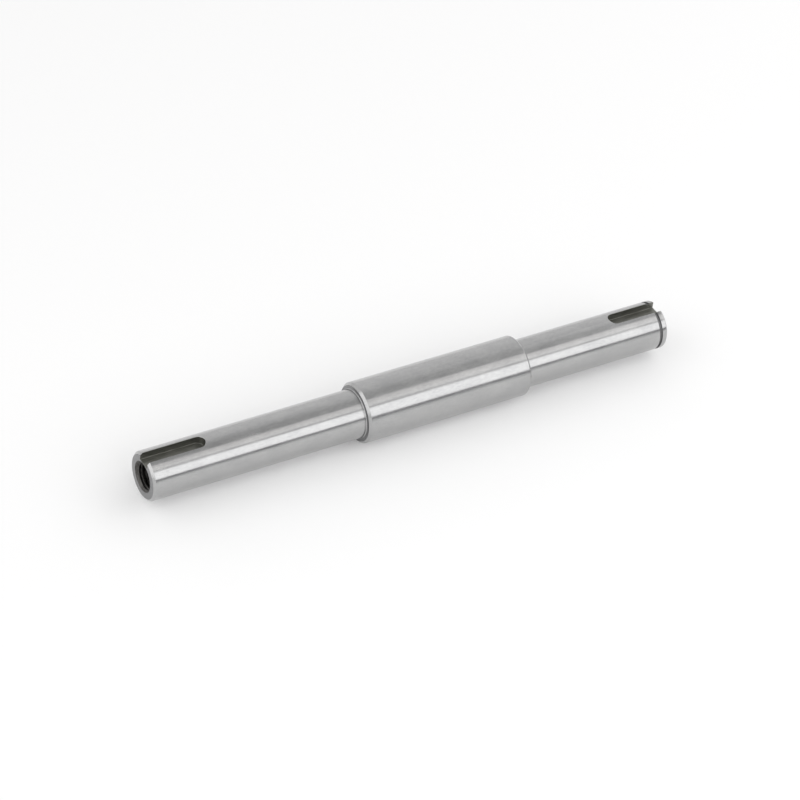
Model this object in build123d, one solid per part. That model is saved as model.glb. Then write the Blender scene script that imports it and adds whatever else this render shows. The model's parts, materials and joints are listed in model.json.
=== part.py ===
from build123d import *
import math
import os

# A stepped shaft: one steel bar, turned to three steps, milled for a key at each end, grooved for a
# retaining ring at one end and drilled for a bolt at the other.
#
# Millimetres. +X runs along the axis from the bolt end to the clip end, and +Z is up, out of the keyways.
# The origin is on the axis, halfway between the two end faces.

# The steps
journal_d = 20.0
collar_d = 25.0
bolt_journal_length = 93.0
collar_length = 75.0
clip_journal_length = 67.0

# Broken edges and inside corners of the turning
bolt_end_chamfer = 1.0
clip_end_chamfer = 0.5
collar_chamfer = 1.0
shoulder_fillet = 0.5
fillet_share = 0.8      # most of a shoulder's flat that its inside radius may take up

# Groove for the retaining ring
clip_land = 2.4
groove_width = 1.3
groove_d = 19.0

# Keyways, each open through its own end face: lengths are from that face to the tip of the round end
key_width = 6.0
keyway_depth = 3.5
bolt_keyway_length = 26.0
clip_keyway_length = 24.0
floor_fillet = 0.2

# Blind hole at the tapping size of an M12 thread: its depth is from the end face to the drill's point
tap_drill_d = 10.2
tap_drill_depth = 30.0
drill_point_angle = 118.0
countersink_d = 12.8
countersink_angle = 90.0

# How far a cutter reaches past the face that it opens through
overrun = 5.0

# Places along the axis
overall_length = bolt_journal_length + collar_length + clip_journal_length
bolt_end = -overall_length / 2
bolt_shoulder = bolt_end + bolt_journal_length
clip_shoulder = bolt_shoulder + collar_length
clip_end = clip_shoulder + clip_journal_length
groove_outer = clip_end - clip_land
groove_inner = groove_outer - groove_width


def turned_blank():
    """The bar off the lathe and the grinder: journals, collar, chamfers, shoulder radii and groove."""
    journal_r = journal_d / 2
    collar_r = collar_d / 2
    groove_r = groove_d / 2
    outline = Polyline(
        (bolt_end, 0),
        (bolt_end, journal_r - bolt_end_chamfer),
        (bolt_end + bolt_end_chamfer, journal_r),
        (bolt_shoulder, journal_r),
        (bolt_shoulder, collar_r - collar_chamfer),
        (bolt_shoulder + collar_chamfer, collar_r),
        (clip_shoulder - collar_chamfer, collar_r),
        (clip_shoulder, collar_r - collar_chamfer),
        (clip_shoulder, journal_r),
        (groove_inner, journal_r),
        (groove_inner, groove_r),
        (groove_outer, groove_r),
        (groove_outer, journal_r),
        (clip_end - clip_end_chamfer, journal_r),
        (clip_end, journal_r - clip_end_chamfer),
        (clip_end, 0),
        close=True,
    )
    half_section = make_face(outline)
    shoulder_flat = collar_r - collar_chamfer - journal_r
    inside_radius = min(shoulder_fillet, fillet_share * shoulder_flat)
    inside_corners = [
        half_section.vertices().sort_by_distance((shoulder, journal_r))[0]
        for shoulder in (bolt_shoulder, clip_shoulder)
    ]
    half_section = fillet(inside_corners, inside_radius)
    return revolve(Plane.XZ * half_section, Axis.X)


def keyway(end, inward, length):
    """The space cut for a key from `end` inwards: a flat floor, upright walls and a round far end."""
    floor = journal_d / 2 - keyway_depth
    round_end = end + inward * (length - key_width / 2)
    outside = end - inward * (key_width / 2 + overrun)
    plan = SlotCenterToCenter(abs(round_end - outside), key_width)
    cutter = extrude(Pos((round_end + outside) / 2, 0, floor) * plan, keyway_depth + overrun)
    floor_edges = cutter.faces().sort_by(Axis.Z)[0].edges()
    return fillet(floor_edges, floor_fillet)


def tapping_hole():
    """The space cut for the bolt's thread: countersink, straight wall and drill point."""
    wall_r = tap_drill_d / 2
    mouth_r = countersink_d / 2
    slope = math.tan(math.radians(countersink_angle / 2))
    countersink_depth = (mouth_r - wall_r) / slope
    point_depth = wall_r / math.tan(math.radians(drill_point_angle / 2))
    outline = Polyline(
        (-overrun, 0),
        (-overrun, mouth_r + overrun * slope),
        (countersink_depth, wall_r),
        (tap_drill_depth, wall_r),
        (tap_drill_depth + point_depth, 0),
        close=True,
    )
    return Pos(bolt_end, 0, 0) * revolve(Plane.XZ * make_face(outline), Axis.X)


def shaft():
    """The finished piece."""
    blank = turned_blank()
    blank -= keyway(bolt_end, 1, bolt_keyway_length)
    blank -= keyway(clip_end, -1, clip_keyway_length)
    return blank - tapping_hole()


os.makedirs("parts", exist_ok=True)
export_step(shaft(), "parts/shaft.step")
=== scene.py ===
import json
import math

import bpy
from mathutils import Matrix, Vector


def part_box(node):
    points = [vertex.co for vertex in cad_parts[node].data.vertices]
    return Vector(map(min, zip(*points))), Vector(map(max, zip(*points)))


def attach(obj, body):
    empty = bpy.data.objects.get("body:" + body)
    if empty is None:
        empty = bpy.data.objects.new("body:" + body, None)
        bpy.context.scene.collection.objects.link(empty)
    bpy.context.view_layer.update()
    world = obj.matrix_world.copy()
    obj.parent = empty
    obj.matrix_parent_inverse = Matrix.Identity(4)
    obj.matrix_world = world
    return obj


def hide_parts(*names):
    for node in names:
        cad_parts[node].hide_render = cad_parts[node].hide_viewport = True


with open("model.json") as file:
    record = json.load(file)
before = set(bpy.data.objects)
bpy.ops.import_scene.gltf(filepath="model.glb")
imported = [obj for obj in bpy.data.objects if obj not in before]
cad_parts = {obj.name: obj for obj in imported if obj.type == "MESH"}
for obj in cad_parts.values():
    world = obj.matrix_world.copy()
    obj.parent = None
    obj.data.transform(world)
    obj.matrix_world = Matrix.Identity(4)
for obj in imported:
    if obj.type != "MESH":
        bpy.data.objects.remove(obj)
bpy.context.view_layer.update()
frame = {"record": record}

# Metres, in the frame of the CAD: +X from the bolt end to the clip end, +Z up, out of the keyways.
MM = 0.001
mounts = {mount["name"]: mount for mount in frame["record"]["mounts"]}
shaft_low, shaft_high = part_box("shaft")

# The turned steps: radii and places from the frame, chamfers the same as the solid's
bolt_end = shaft_low.x
clip_end = shaft_high.x
journal_radius = mounts["bolt_journal"]["dims"]["r_mm"] * MM
collar_radius = mounts["collar"]["dims"]["r_mm"] * MM
collar_middle = mounts["collar"]["pos_m"][0]
collar_half = mounts["collar"]["dims"]["length_mm"] * MM / 2
bolt_end_chamfer = 1.0 * MM
clip_end_chamfer = 0.5 * MM
collar_chamfer = 1.0 * MM
bolt_shoulder = collar_middle - collar_half - collar_chamfer
clip_shoulder = collar_middle + collar_half + collar_chamfer

# Groove for the retaining ring
groove_middle = mounts["ring_groove"]["pos_m"][0]
groove_width = 1.3 * MM
groove_radius = 9.5 * MM
groove_inner = groove_middle - groove_width / 2
groove_outer = groove_middle + groove_width / 2

# Keyways
key_width = 6.0 * MM
keyway_floor = mounts["bolt_keyway_floor"]["pos_m"][2]
bolt_keyway_length = 26.0 * MM
clip_keyway_length = 24.0 * MM
floor_radius = 0.2 * MM

# Tapped hole
drill_radius = mounts["tapped_hole"]["dims"]["r_mm"] * MM
drill_depth = 30.0 * MM
drill_point_angle = math.radians(118)
countersink_radius = 6.4 * MM
thread_pitch = 1.75 * MM
thread_radius = 6.0 * MM
thread_depth = 24.0 * MM

# Edges that a file, a stone or the tool's own nose takes off
shoulder_radius = 0.5 * MM
corner_radius = 0.12 * MM
edge_break = 0.08 * MM
mouth_break = 0.05 * MM

# Where the finishes end: inside the end chamfers, and just outside the groove's walls
ground_from = journal_radius - 0.8 * bolt_end_chamfer
groove_reach = groove_width / 2 + edge_break / 4

# Fineness of the meshes
turned_segments = 384
corner_steps = 4
keyway_steps = 48
thread_steps = 96
touching = 1e-7                          # points closer than this are one point
sharpest_shaded = math.radians(30)       # edges that turn more than this stay sharp

# How far the cutters' spaces reach past the metal, so that no two faces lie in one plane
clear_of_face = 2.0 * MM
tap_overlap = 0.1 * MM


# ---------------------------------------------------------------- node trees

class Value:
    """A socket in a node tree. Arithmetic on it adds Math nodes."""

    def __init__(self, tree, socket):
        self.tree = tree
        self.socket = socket

    def math(self, operation, *others):
        return self.tree.run("ShaderNodeMath", dict(enumerate((self, *others))), operation=operation)

    def __add__(self, other):
        return self.math("ADD", other)

    def __sub__(self, other):
        return self.math("SUBTRACT", other)

    def __mul__(self, other):
        return self.math("MULTIPLY", other)

    def __truediv__(self, other):
        return self.math("DIVIDE", other)


class Nodes:
    """A node tree that is being built: geometry, a material or a world."""

    def __init__(self, group):
        self.group = group

    def add(self, kind, **settings):
        node = self.group.nodes.new(kind)
        for name, value in settings.items():
            setattr(node, name, value)
        return node

    def feed(self, socket, value):
        """Links a value to the socket, or sets the number, colour or object on it."""
        if isinstance(value, Value):
            self.group.links.new(value.socket, socket)
        else:
            socket.default_value = value

    def run(self, kind, inputs, output=0, **settings):
        """Adds a node, feeds its inputs by name or place, and returns one of its outputs."""
        node = self.add(kind, **settings)
        for name, value in inputs.items():
            self.feed(node.inputs[name], value)
        return Value(self, node.outputs[output])


class Tree(Nodes):
    """A geometry node tree with named inputs and one mesh as its result."""

    def __init__(self, name, **inputs):
        super().__init__(bpy.data.node_groups.new(name, "GeometryNodeTree"))
        self.group.is_modifier = True
        interface = self.group.interface
        interface.new_socket("Geometry", in_out="INPUT", socket_type="NodeSocketGeometry")
        kinds = {float: "NodeSocketFloat", int: "NodeSocketInt", bpy.types.Material: "NodeSocketMaterial",
                 bpy.types.Object: "NodeSocketObject"}
        for label, kind in inputs.items():
            interface.new_socket(label, in_out="INPUT", socket_type=kinds[kind])
        interface.new_socket("Geometry", in_out="OUTPUT", socket_type="NodeSocketGeometry")
        self.start = self.add("NodeGroupInput")

    def input(self, label):
        return Value(self, self.start.outputs[label])

    def index(self):
        return self.run("GeometryNodeInputIndex", {})

    def pick(self, index, *choices):
        """The choice with that number, from 0."""
        node = self.add("GeometryNodeIndexSwitch", data_type="FLOAT")
        while len(node.index_switch_items) < len(choices):
            node.index_switch_items.new()
        self.feed(node.inputs[0], index)
        for place, choice in enumerate(choices, start=1):
            self.feed(node.inputs[place], choice)
        return Value(self, node.outputs[0])

    def point(self, x, y, z):
        return self.run("ShaderNodeCombineXYZ", {0: x, 1: y, 2: z})

    def grid(self, columns, rows):
        """A sheet of points, with the number of each point's column and row."""
        sheet = self.run("GeometryNodeMeshGrid", {"Vertices X": columns, "Vertices Y": rows})
        column = (self.index() / rows).math("FLOOR")
        row = self.index() - column * rows
        return sheet, column, row

    def wrap(self, sheet, place):
        """The sheet with its points moved to their places and its meeting edges joined."""
        moved = self.run("GeometryNodeSetPosition", {"Geometry": sheet, "Position": place})
        return self.run("GeometryNodeMergeByDistance", {"Geometry": moved, "Distance": touching})

    def paint(self, mesh, finish, where=True):
        """The mesh with a finish on the faces chosen."""
        return self.run("GeometryNodeSetMaterial", {"Geometry": mesh, "Selection": where, "Material": finish})

    def end(self, mesh):
        self.feed(self.add("NodeGroupOutput").inputs[0], mesh)
        return self.group

    def finish(self, mesh):
        """Ends the tree in plain mesh, smooth, with the finish of its Finish input."""
        smooth = self.run("GeometryNodeSetShadeSmooth", {"Geometry": mesh})
        real = self.run("GeometryNodeRealizeInstances", {"Geometry": smooth})
        return self.end(self.paint(real, self.input("Finish")))


def plain_mesh(piece):
    """The piece's mesh with its modifiers applied, and the modifiers gone."""
    depsgraph = bpy.context.evaluated_depsgraph_get()
    mesh = bpy.data.meshes.new_from_object(piece.evaluated_get(depsgraph), depsgraph=depsgraph)
    piece.modifiers.clear()
    piece.data = mesh
    return piece


def shaped(piece, group, **sizes):
    """Runs a node tree on the piece, with its inputs set by name, and leaves a plain mesh."""
    modifier = piece.modifiers.new(group.name, "NODES")
    modifier.node_group = group
    for item in group.interface.items_tree:
        if item.in_out == "INPUT" and item.name in sizes:
            modifier[item.identifier] = sizes.pop(item.name)
    if sizes:
        raise ValueError(f"{group.name} has no inputs named {sorted(sizes)}")
    return plain_mesh(piece)


def placed(name, data):
    """A new object in the scene, at the origin."""
    thing = bpy.data.objects.new(name, data)
    bpy.context.scene.collection.objects.link(thing)
    return thing


def drawn(name, finish, outline=()):
    """A new piece whose mesh is the line through the outline's corners: (x, radius, rounding)."""
    mesh = bpy.data.meshes.new(name)
    points = [(x, 0, radius) for x, radius, _ in outline]
    mesh.from_pydata(points, [(k, k + 1) for k in range(len(points) - 1)], [])
    mesh.materials.append(finish)
    rounding = mesh.attributes.new("rounding", "FLOAT", "POINT")
    rounding.data.foreach_set("value", [r for _, _, r in outline])
    return placed(name, mesh)


# ---------------------------------------------------------------- turning, milling, tapping

def turning_tree():
    """Turns an outline, drawn beside the X axis, once round it. Each corner has its own rounding."""
    tree = Tree("turning", Segments=int, Corner_Steps=int, Finish=bpy.types.Material)
    outline = tree.run("GeometryNodeMeshToCurve", {"Mesh": tree.input("Geometry")})
    rounding = tree.run("GeometryNodeInputNamedAttribute", {"Name": "rounding"}, data_type="FLOAT")
    outline = tree.run("GeometryNodeFilletCurve", {"Curve": outline, "Radius": rounding,
                                                   "Count": tree.input("Corner_Steps")}, mode="POLY")
    rows = tree.run("GeometryNodeAttributeDomainSize", {0: outline}, "Point Count", component="CURVE")
    segments = tree.input("Segments")
    sheet, column, row = tree.grid(segments + 1, rows)
    place = tree.run("GeometryNodeSampleIndex", {"Geometry": outline, "Index": row,
                                                 "Value": tree.run("GeometryNodeInputPosition", {})},
                     data_type="FLOAT_VECTOR")
    parts = tree.add("ShaderNodeSeparateXYZ")
    tree.feed(parts.inputs[0], place)
    x, radius = (Value(tree, parts.outputs[axis]) for axis in "XZ")
    angle = column / segments * math.tau
    turned = tree.point(x, radius * angle.math("COSINE"), radius * angle.math("SINE"))
    return tree.finish(tree.wrap(sheet, turned))


def keyway_tree():
    """The space that an end mill clears for a key, from outside the end face to its round end.

    Each column of the sheet is a place round the slot's outline, and each row is a level, from
    the middle of the floor up the wall and over the broken edge to a lid above the journal.
    """
    tree = Tree("keyway", Outer_End=float, Face=float, Round_Middle=float, Inward=float, Half_Width=float,
                Floor=float, Floor_Radius=float, Journal_Radius=float, Edge_Break=float, Mouth_Break=float,
                Round_Steps=int, Floor_Steps=int, Finish=bpy.types.Material)
    half_width, floor, floor_radius = (tree.input(n) for n in ("Half_Width", "Floor", "Floor_Radius"))
    edge_break, mouth_break, inward = (tree.input(n) for n in ("Edge_Break", "Mouth_Break", "Inward"))
    steps, floor_steps = tree.input("Round_Steps"), tree.input("Floor_Steps")

    # Round the outline: two places on each straight side, and the arc between them
    places = steps + 5
    sheet, column, level = tree.grid(places + 1, floor_steps + 5)
    place = column.math("MODULO", places)
    from_end = place.math("MINIMUM", steps + 4 - place)
    mouth = tree.input("Face") + inward * mouth_break
    spine = tree.pick(from_end.math("MINIMUM", 2), tree.input("Outer_End"), mouth, tree.input("Round_Middle"))
    flare = ((mouth - spine) * inward).math("MAXIMUM", 0.0)
    turn = ((place - 2) / steps).math("MAXIMUM", 0.0).math("MINIMUM", 1.0) * math.pi - math.pi / 2
    along, across = turn.math("COSINE") * inward, turn.math("SINE")

    # Up the levels: how far out from the spine, and how high
    fillet_turn = ((level - 1) / floor_steps).math("MINIMUM", 1.0) * (math.pi / 2)
    wall_y = across * half_width
    broken_y = across * (half_width + edge_break)
    radius_squared = tree.input("Journal_Radius").math("POWER", 2.0)
    surface_at_wall = (radius_squared - wall_y.math("POWER", 2.0)).math("SQRT")
    surface_at_break = (radius_squared - broken_y.math("POWER", 2.0)).math("SQRT")
    wall_top = surface_at_wall - edge_break
    overshoot = 4.0                      # how far the broken edge's slope runs on, outside the metal
    lid = 1.2                            # height of the space's top, in journal radii
    stage = (level - floor_steps - 1).math("MAXIMUM", 0.0) + level.math("MINIMUM", 1.0)
    reach = tree.pick(stage, 0.0,
                      half_width + flare - floor_radius * (fillet_turn.math("SINE") * -1 + 1),
                      half_width + flare,
                      half_width + flare + edge_break * (1 + overshoot), 0.0)
    height = tree.pick(stage, floor - flare,
                       floor - flare + floor_radius * (fillet_turn.math("COSINE") * -1 + 1),
                       wall_top,
                       surface_at_break + (surface_at_break - wall_top) * overshoot,
                       tree.input("Journal_Radius") * lid)
    cleared = tree.point(spine + along * reach, across * reach * inward, height)
    return tree.finish(tree.wrap(sheet, cleared))


def tap_tree():
    """The space that a tap clears: a thread ridge wound round a core, fading at both ends.

    Each row of the sheet is one corner of the thread's form, and the columns go once round, so
    the last column of a row meets the first column of the row one pitch on.
    """
    tree = Tree("tap", Start=float, End=float, Pitch=float, Core_Radius=float, Crest_Radius=float,
                Lead_In=float, Run_Out=float, Segments=int, Finish=bpy.types.Material)
    start, end, pitch = (tree.input(n) for n in ("Start", "End", "Pitch"))
    core, crest, segments = (tree.input(n) for n in ("Core_Radius", "Crest_Radius", "Segments"))
    corners = 4
    turns = ((end - start) / pitch).math("CEIL") + 2
    rows = turns * corners + 2
    sheet, column, row = tree.grid(segments + 1, rows)
    corner = (row - 1).math("MAXIMUM", 0.0).math("MINIMUM", rows - 3)
    winding = (corner / corners).math("FLOOR")
    corner = corner - winding * corners
    half_crest = 1 / 16                  # of the pitch, as metric threads have
    flank_angle = math.radians(30)
    flank = (crest - core) / pitch * math.tan(flank_angle)
    share = tree.pick(corner, -half_crest, half_crest, flank + half_crest, flank * -1 + (1 - half_crest))
    depth = tree.pick(corner, 1.0, 1.0, 0.0, 0.0)
    x = start + pitch * (winding - 1 + share + column / segments)
    lead_in = ((x - start) / tree.input("Lead_In")).math("MAXIMUM", 0.0).math("MINIMUM", 1.0)
    run_out = ((end - x) / tree.input("Run_Out")).math("MAXIMUM", 0.0).math("MINIMUM", 1.0)
    radius = core + (crest - core) * depth * lead_in * run_out
    at_tip = row.math("COMPARE", 0.0, 0.5) + row.math("COMPARE", rows - 1, 0.5)
    radius = radius * (at_tip * -1 + 1)
    angle = column / segments * math.tau
    x = x.math("MAXIMUM", start).math("MINIMUM", end)
    cleared = tree.point(x, radius * angle.math("COSINE"), radius * angle.math("SINE"))
    return tree.finish(tree.wrap(sheet, cleared))


def machining_tree():
    """Takes the cutters' spaces out of the turned bar, and gives its faces their finishes.

    The journals, the collar and their chamfers are ground, and the ring groove is left as cut.
    """
    tree = Tree("machining", Bolt_Keyway=bpy.types.Object, Clip_Keyway=bpy.types.Object,
                Drill=bpy.types.Object, Tap=bpy.types.Object, Ground_From=float, Groove_Middle=float,
                Groove_Reach=float, Finish=bpy.types.Material, Groove_Finish=bpy.types.Material)
    cut = tree.add("GeometryNodeMeshBoolean", operation="DIFFERENCE", solver="MANIFOLD")
    tree.feed(cut.inputs["Mesh 1"], tree.input("Geometry"))
    for cutter in ("Bolt_Keyway", "Clip_Keyway", "Drill", "Tap"):
        space = tree.run("GeometryNodeObjectInfo", {"Object": tree.input(cutter)}, "Geometry")
        tree.feed(cut.inputs["Mesh 2"], space)
    real = tree.run("GeometryNodeRealizeInstances", {"Geometry": Value(tree, cut.outputs["Mesh"])})
    position = tree.run("GeometryNodeInputPosition", {})
    outwards = tree.run("ShaderNodeVectorMath", {0: position, 1: (0, 1, 1)}, operation="MULTIPLY")
    from_axis = tree.run("ShaderNodeVectorMath", {0: outwards}, "Value", operation="LENGTH")
    radial = tree.run("ShaderNodeVectorMath", {0: outwards}, operation="NORMALIZE")
    normal = tree.run("GeometryNodeInputNormal", {})
    facing = tree.run("ShaderNodeVectorMath", {0: normal, 1: radial}, "Value", operation="DOT_PRODUCT")
    outermost = from_axis.math("GREATER_THAN", tree.input("Ground_From"))
    least_facing = 0.65                  # takes in the 45 degree chamfers, and leaves out the end faces
    real = tree.paint(real, tree.input("Finish"), outermost * facing.math("GREATER_THAN", least_facing))
    along = tree.run("ShaderNodeVectorMath", {0: position, 1: (1, 0, 0)}, "Value", operation="DOT_PRODUCT")
    from_groove = (along - tree.input("Groove_Middle")).math("ABSOLUTE")
    grooved = from_groove.math("LESS_THAN", tree.input("Groove_Reach")) * outermost
    return tree.end(tree.paint(real, tree.input("Groove_Finish"), grooved))


def turned_bar(turning, finish):
    """Journals, collar, chamfers, shoulder radii and the ring groove."""
    step = collar_radius - collar_chamfer
    outline = [
        (bolt_end, 0, 0),
        (bolt_end, journal_radius - bolt_end_chamfer, corner_radius),
        (bolt_end + bolt_end_chamfer, journal_radius, corner_radius),
        (bolt_shoulder, journal_radius, shoulder_radius),
        (bolt_shoulder, step, corner_radius),
        (bolt_shoulder + collar_chamfer, collar_radius, corner_radius),
        (clip_shoulder - collar_chamfer, collar_radius, corner_radius),
        (clip_shoulder, step, corner_radius),
        (clip_shoulder, journal_radius, shoulder_radius),
        (groove_inner, journal_radius, edge_break),
        (groove_inner, groove_radius, edge_break),
        (groove_outer, groove_radius, edge_break),
        (groove_outer, journal_radius, edge_break),
        (clip_end - clip_end_chamfer, journal_radius, corner_radius),
        (clip_end, journal_radius - clip_end_chamfer, corner_radius),
        (clip_end, 0, 0),
    ]
    return shaped(drawn("shaft_body", finish, outline), turning, Segments=turned_segments,
                  Corner_Steps=corner_steps, Finish=finish)


def drill_space(turning, finish):
    """The countersink, the straight wall and the drill's point."""
    point = drill_radius / math.tan(drill_point_angle / 2)
    outline = [
        (bolt_end - clear_of_face, 0, 0),
        (bolt_end - clear_of_face, countersink_radius + clear_of_face, 0),
        (bolt_end + countersink_radius - drill_radius, drill_radius, 0),
        (bolt_end + drill_depth, drill_radius, 0),
        (bolt_end + drill_depth + point, 0, 0),
    ]
    return shaped(drawn("drill_space", finish, outline), turning, Segments=thread_steps,
                  Corner_Steps=corner_steps, Finish=finish)


def keyway_space(name, keyway, face, inward, length, finish):
    """The space milled for a key that slides in through the end face."""
    round_middle = face + inward * (length - key_width / 2)
    return shaped(drawn(name, finish), keyway, Outer_End=face - inward * clear_of_face, Face=face,
                  Inward=inward, Round_Middle=round_middle, Half_Width=key_width / 2, Floor=keyway_floor,
                  Floor_Radius=floor_radius, Journal_Radius=journal_radius,
                  Edge_Break=edge_break, Mouth_Break=mouth_break, Round_Steps=keyway_steps,
                  Floor_Steps=corner_steps, Finish=finish)


def tap_space(tap, finish):
    """The thread, right-handed, cut from outside the end face and running out in the hole."""
    return shaped(drawn("tap_space", finish), tap, Start=bolt_end - 2 * thread_pitch,
                  End=bolt_end + thread_depth, Pitch=thread_pitch, Core_Radius=drill_radius - tap_overlap,
                  Crest_Radius=thread_radius, Lead_In=thread_pitch, Run_Out=2 * thread_pitch,
                  Segments=thread_steps, Finish=finish)


def shaft_body(ground, turned, grooved, milled, tapped):
    """The whole piece, in the order of the work: turn, mill, drill, tap and grind."""
    turning, keyway = turning_tree(), keyway_tree()
    body = turned_bar(turning, turned)
    cutters = {
        "Bolt_Keyway": keyway_space("bolt_keyway_space", keyway, bolt_end, 1.0, bolt_keyway_length, milled),
        "Clip_Keyway": keyway_space("clip_keyway_space", keyway, clip_end, -1.0, clip_keyway_length, milled),
        "Drill": drill_space(turning, tapped),
        "Tap": tap_space(tap_tree(), tapped),
    }
    shaped(body, machining_tree(), Ground_From=ground_from, Finish=ground, Groove_Middle=groove_middle,
           Groove_Reach=groove_reach, Groove_Finish=grooved, **cutters)
    for cutter in cutters.values():
        bpy.data.objects.remove(cutter)
    body.data.set_sharp_from_angle(angle=sharpest_shaded)
    weighted = body.modifiers.new("even_shading", "WEIGHTED_NORMAL")
    weighted.keep_sharp = True
    weighted.weight = 100
    plain_mesh(body)
    body.data.materials.pop(index=0)        # the empty slot that a new sheet of points starts with
    return body


# ---------------------------------------------------------------- finishes

class Finish(Nodes):
    """A metal's material: its Principled shader, and patterns that read the piece's Object coordinates."""

    def __init__(self, name, anisotropic=0.0):
        self.material = bpy.data.materials.new(name)
        self.material.use_nodes = True
        super().__init__(self.material.node_tree)
        self.shader = self.group.nodes["Principled BSDF"]
        self.place = self.run("ShaderNodeTexCoord", {}, "Object")
        self.shader.inputs["Metallic"].default_value = 1.0
        self.shader.inputs["Anisotropic"].default_value = anisotropic

    def noise(self, along, round_the_axis, seed=0.0):
        """Marks of these lengths, from 0 to 1."""
        scale = (1 / along, 1 / round_the_axis, 1 / round_the_axis)
        place = self.run("ShaderNodeMapping", {"Vector": self.place, "Scale": scale}, vector_type="POINT")
        return self.run("ShaderNodeTexNoise", {"Vector": place, "W": seed, "Scale": 1.0, "Detail": 2.0},
                        "Fac", noise_dimensions="4D")

    def tool_rings(self, feed):
        """Rings round the axis, from 0 to 1, that a facing tool leaves at this feed."""
        outwards = self.run("ShaderNodeVectorMath", {0: self.place, 1: (0, 1, 1)}, operation="MULTIPLY")
        radius = self.run("ShaderNodeVectorMath", {0: outwards}, "Value", operation="LENGTH")
        return self.run("ShaderNodeTexNoise", {"W": radius * (1 / feed), "Scale": 1.0, "Detail": 3.0},
                        "Fac", noise_dimensions="1D")

    def between(self, pattern, low, high):
        """The middle part of a noise's range, brought to low..high."""
        noise_low, noise_high = 0.3, 0.7
        return self.run("ShaderNodeMapRange", {"Value": pattern, "From Min": noise_low,
                                               "From Max": noise_high, "To Min": low, "To Max": high})

    def tinted(self, pattern, dark, light):
        """Base colour that runs between two colours with the pattern."""
        share = self.between(pattern, 0, 1)
        color = self.run("ShaderNodeMix", {0: share, 6: (*dark, 1), 7: (*light, 1)}, 2, data_type="RGBA")
        self.feed(self.shader.inputs["Base Color"], color)

    def rough(self, value):
        self.feed(self.shader.inputs["Roughness"], value)

    def relief(self, height, depth):
        """Surface marks this deep, in metres."""
        normal = self.run("ShaderNodeBump", {"Height": height, "Distance": depth, "Strength": 1.0})
        self.feed(self.shader.inputs["Normal"], normal)


def ground_steel():
    """Centreless-ground bright steel: fine rings round the axis, and faint streaks along it."""
    finish = Finish("ground_steel", anisotropic=0.8)
    tangent = finish.run("ShaderNodeTangent", {}, direction_type="RADIAL", axis="X")
    finish.feed(finish.shader.inputs["Tangent"], tangent)
    finish.shader.inputs["Anisotropic Rotation"].default_value = 0.25
    rings = finish.noise(0.16 * MM, 25 * MM)
    streaks = finish.noise(14 * MM, 1.2 * MM, seed=2.0)
    clouds = finish.noise(9 * MM, 5 * MM, seed=5.0)
    flecks = finish.noise(1.6 * MM, 0.5 * MM, seed=9.0)
    finish.tinted((clouds + flecks) * 0.5, (0.395, 0.395, 0.398), (0.49, 0.49, 0.487))
    finish.rough(finish.between(streaks, 0.18, 0.26) + finish.between(clouds, -0.01, 0.02))
    finish.relief(rings, 0.0002 * MM)
    return finish.material


def turned_steel():
    """Faces left from the lathe: fine tool rings, duller than the ground steps."""
    finish = Finish("turned_steel")
    grain = finish.noise(0.8 * MM, 0.8 * MM)
    rings = finish.tool_rings(0.4 * MM)
    finish.tinted((grain + rings) * 0.5, (0.2, 0.2, 0.205), (0.33, 0.33, 0.332))
    finish.rough(finish.between(grain, 0.28, 0.38))
    finish.relief(rings, 0.003 * MM)
    return finish.material


def grooved_steel():
    """The ring groove: left from the parting tool, dark with what settles in it and with painted shade of the
    narrow slot.
    """
    finish = Finish("grooved_steel")
    rings = finish.noise(0.15 * MM, 6 * MM)
    # painted shade: these colours are darker than the steel, for the shade in the narrow groove as well as
    # its dirt
    finish.tinted(rings, (0.12, 0.12, 0.122), (0.22, 0.22, 0.222))
    finish.rough(finish.between(rings, 0.38, 0.52))
    return finish.material


def milled_steel():
    """Keyway floors and walls: dull, with cutter marks."""
    finish = Finish("milled_steel")
    marks = finish.noise(4 * MM, 0.35 * MM)
    finish.tinted(marks, (0.15, 0.15, 0.135), (0.27, 0.27, 0.25))
    finish.rough(finish.between(marks, 0.32, 0.48))
    finish.relief(marks, 0.004 * MM)
    return finish.material


def tapped_steel():
    """Inside the hole: much darker than the other faces, with torn thread flanks."""
    finish = Finish("tapped_steel")
    marks = finish.noise(0.5 * MM, 1.5 * MM)
    finish.tinted(marks, (0.055, 0.053, 0.05), (0.13, 0.125, 0.12))
    finish.rough(finish.between(marks, 0.3, 0.5))
    return finish.material


# ---------------------------------------------------------------- studio

floor_height = -collar_radius
floor_half = 4.0
studio_reach = 1.0                       # from the shaft to the lamps and the flag beside it
softbox_length, softbox_shift = 1.5, 0.45
side_reach = 1.2 * studio_reach          # from the shaft to the lamps off its ends
side_length, side_width = 1.4, 1.1
flag_left, flag_right = -0.4, 1.4
camera_azimuth, camera_elevation = math.radians(-35.14), math.radians(40.86)
camera_roll = math.radians(8.07)
camera_distance = 1.3207
camera_lens = 150.13
camera_aim = Vector((-3.76, -0.06, -0.06)) * MM


def camera():
    data = bpy.data.cameras.new("camera")
    data.lens = camera_lens
    data.clip_start, data.clip_end = 0.05, 30
    eye = placed("camera", data)
    level = math.cos(camera_elevation)
    back = Vector((math.sin(camera_azimuth) * level, -math.cos(camera_azimuth) * level,
                   math.sin(camera_elevation)))
    turn = (-back).to_track_quat("-Z", "Y").to_matrix() @ Matrix.Rotation(camera_roll, 3, "Z")
    eye.matrix_world = Matrix.Translation(camera_aim + back * camera_distance) @ turn.to_4x4()
    bpy.context.scene.camera = eye


def card(name, corners, finish):
    """A flat four-cornered sheet, placed in the scene."""
    mesh = bpy.data.meshes.new(name)
    mesh.from_pydata(corners, [], [(0, 1, 2, 3)])
    mesh.materials.append(finish)
    sheet = placed(name, mesh)
    return sheet


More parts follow.
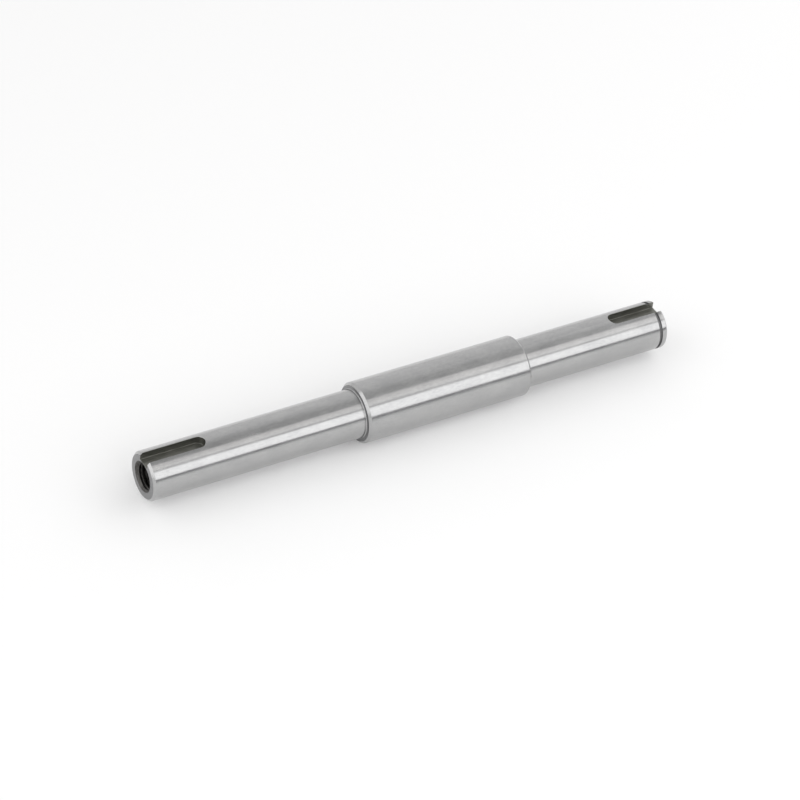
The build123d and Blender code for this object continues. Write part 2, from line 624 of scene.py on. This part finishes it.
def studio_white():
    """Matt white, with a little light of its own that only the eye, reflections and glass see."""
    material = bpy.data.materials.new("studio_white")
    material.use_nodes = True
    nodes = Nodes(material.node_tree)
    matt = nodes.run("ShaderNodeBsdfDiffuse", {"Color": (0.93, 0.93, 0.93, 1)})
    path = nodes.add("ShaderNodeLightPath")
    camera_ray, glossy_ray, transmission_ray = (
        Value(nodes, path.outputs[f"Is {ray} Ray"]) for ray in ("Camera", "Glossy", "Transmission"))
    seen = camera_ray.math("MAXIMUM", glossy_ray).math("MAXIMUM", transmission_ray)
    glow = nodes.run("ShaderNodeEmission", {"Strength": seen * 0.07})
    both = nodes.run("ShaderNodeAddShader", {0: matt, 1: glow})
    nodes.feed(nodes.group.nodes["Material Output"].inputs["Surface"], both)
    return material


def studio_floor():
    """Matt white table, which keeps the shaft's shadow."""
    sides = ((-1, -1), (1, -1), (1, 1), (-1, 1))
    corners = [(x * floor_half, y * floor_half, floor_height) for x, y in sides]
    card("studio_floor", corners, studio_white())


def lamp(name, outwards, reach, length, width, radiance, tint=(1, 1, 1), shift=0.0):
    """A rectangular lamp that faces the shaft, shifted along its axis, and unseen by the camera."""
    light = bpy.data.lights.new(name, "AREA")
    light.shape = "RECTANGLE"
    light.size, light.size_y = length, width
    light.energy = radiance * math.pi * length * width
    light.color = tint
    box = placed(name, light)
    turn = outwards.to_track_quat("Z", "Y").to_matrix()
    box.matrix_world = Matrix.Translation(outwards * reach + Vector((shift, 0, 0))) @ turn.to_4x4()
    box.visible_camera = False


def beside(angle):
    """The direction at this angle above the floor, on the camera's side of the shaft."""
    return Vector((0, -math.cos(math.radians(angle)), math.sin(math.radians(angle))))


def softbox(name, low_angle, high_angle, radiance, tint):
    """A long lamp beside the shaft, between two angles above the floor."""
    width = 2 * studio_reach * math.tan(math.radians(high_angle - low_angle) / 2)
    lamp(name, beside((low_angle + high_angle) / 2), studio_reach, softbox_length, width, radiance, tint,
         softbox_shift)


def side_softbox(name, outwards, radiance):
    """A large lamp off one end, which lights the table and the chamfers that face it."""
    lamp(name, Vector(outwards).normalized(), side_reach, side_length, side_width, radiance)


def black_flag(low_angle, high_angle):
    """A dark card below the main softbox, which draws the thin dark line along the shaft."""
    material = bpy.data.materials.new("flag_cloth")
    material.use_nodes = True
    shader = material.node_tree.nodes["Principled BSDF"]
    shader.inputs["Base Color"].default_value = (0.3, 0.3, 0.31, 1)
    shader.inputs["Roughness"].default_value = 0.9
    shader.inputs["Specular IOR Level"].default_value = 0.0
    low, high = (beside(angle) * studio_reach for angle in (low_angle, high_angle))
    left, right = Vector((flag_left, 0, 0)), Vector((flag_right, 0, 0))
    flag = card("flag", [low + left, low + right, high + right, high + left], material)
    flag.visible_camera = False


def room():
    """Pale walls and a darker ceiling."""
    world = bpy.data.worlds.new("room")
    bpy.context.scene.world = world
    world.use_nodes = True
    nodes = Nodes(world.node_tree)
    upwards = nodes.run("ShaderNodeSeparateXYZ", {0: nodes.run("ShaderNodeTexCoord", {}, "Generated")}, "Z")
    ramp = nodes.add("ShaderNodeValToRGB")
    nodes.feed(ramp.inputs[0], upwards)
    stops = {0.0: 0.88, 0.25: 0.92, 0.6: 0.88, 0.8: 0.76, 0.895: 0.49, 1.0: 0.44}
    elements = ramp.color_ramp.elements
    while len(elements) < len(stops):
        elements.new(0.5)
    for element, (height, level) in zip(elements, stops.items()):
        element.position = height
        element.color = (level, level, level, 1)
    nodes.feed(world.node_tree.nodes["Background"].inputs["Color"], Value(nodes, ramp.outputs["Color"]))


camera()
studio_floor()
room()
softbox("main_softbox", low_angle=16.5, high_angle=49, radiance=0.95, tint=(0.99, 0.99, 1))
softbox("top_softbox", low_angle=57, high_angle=80, radiance=0.50, tint=(1, 0.98, 0.96))
side_softbox("bolt_side_softbox", outwards=(-0.87, 0.0, 0.49), radiance=0.62)
side_softbox("clip_side_softbox", outwards=(0.89, 0.0, 0.45), radiance=0.45)
black_flag(low_angle=6.5, high_angle=15.5)

shaft_piece = shaft_body(ground_steel(), turned_steel(), grooved_steel(), milled_steel(), tapped_steel())
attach(shaft_piece, "root")
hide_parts("shaft")

bpy.context.scene.view_settings.view_transform = "Standard"


def corners(box):
    """A box as plain lists of numbers."""
    return [list(corner) for corner in box]
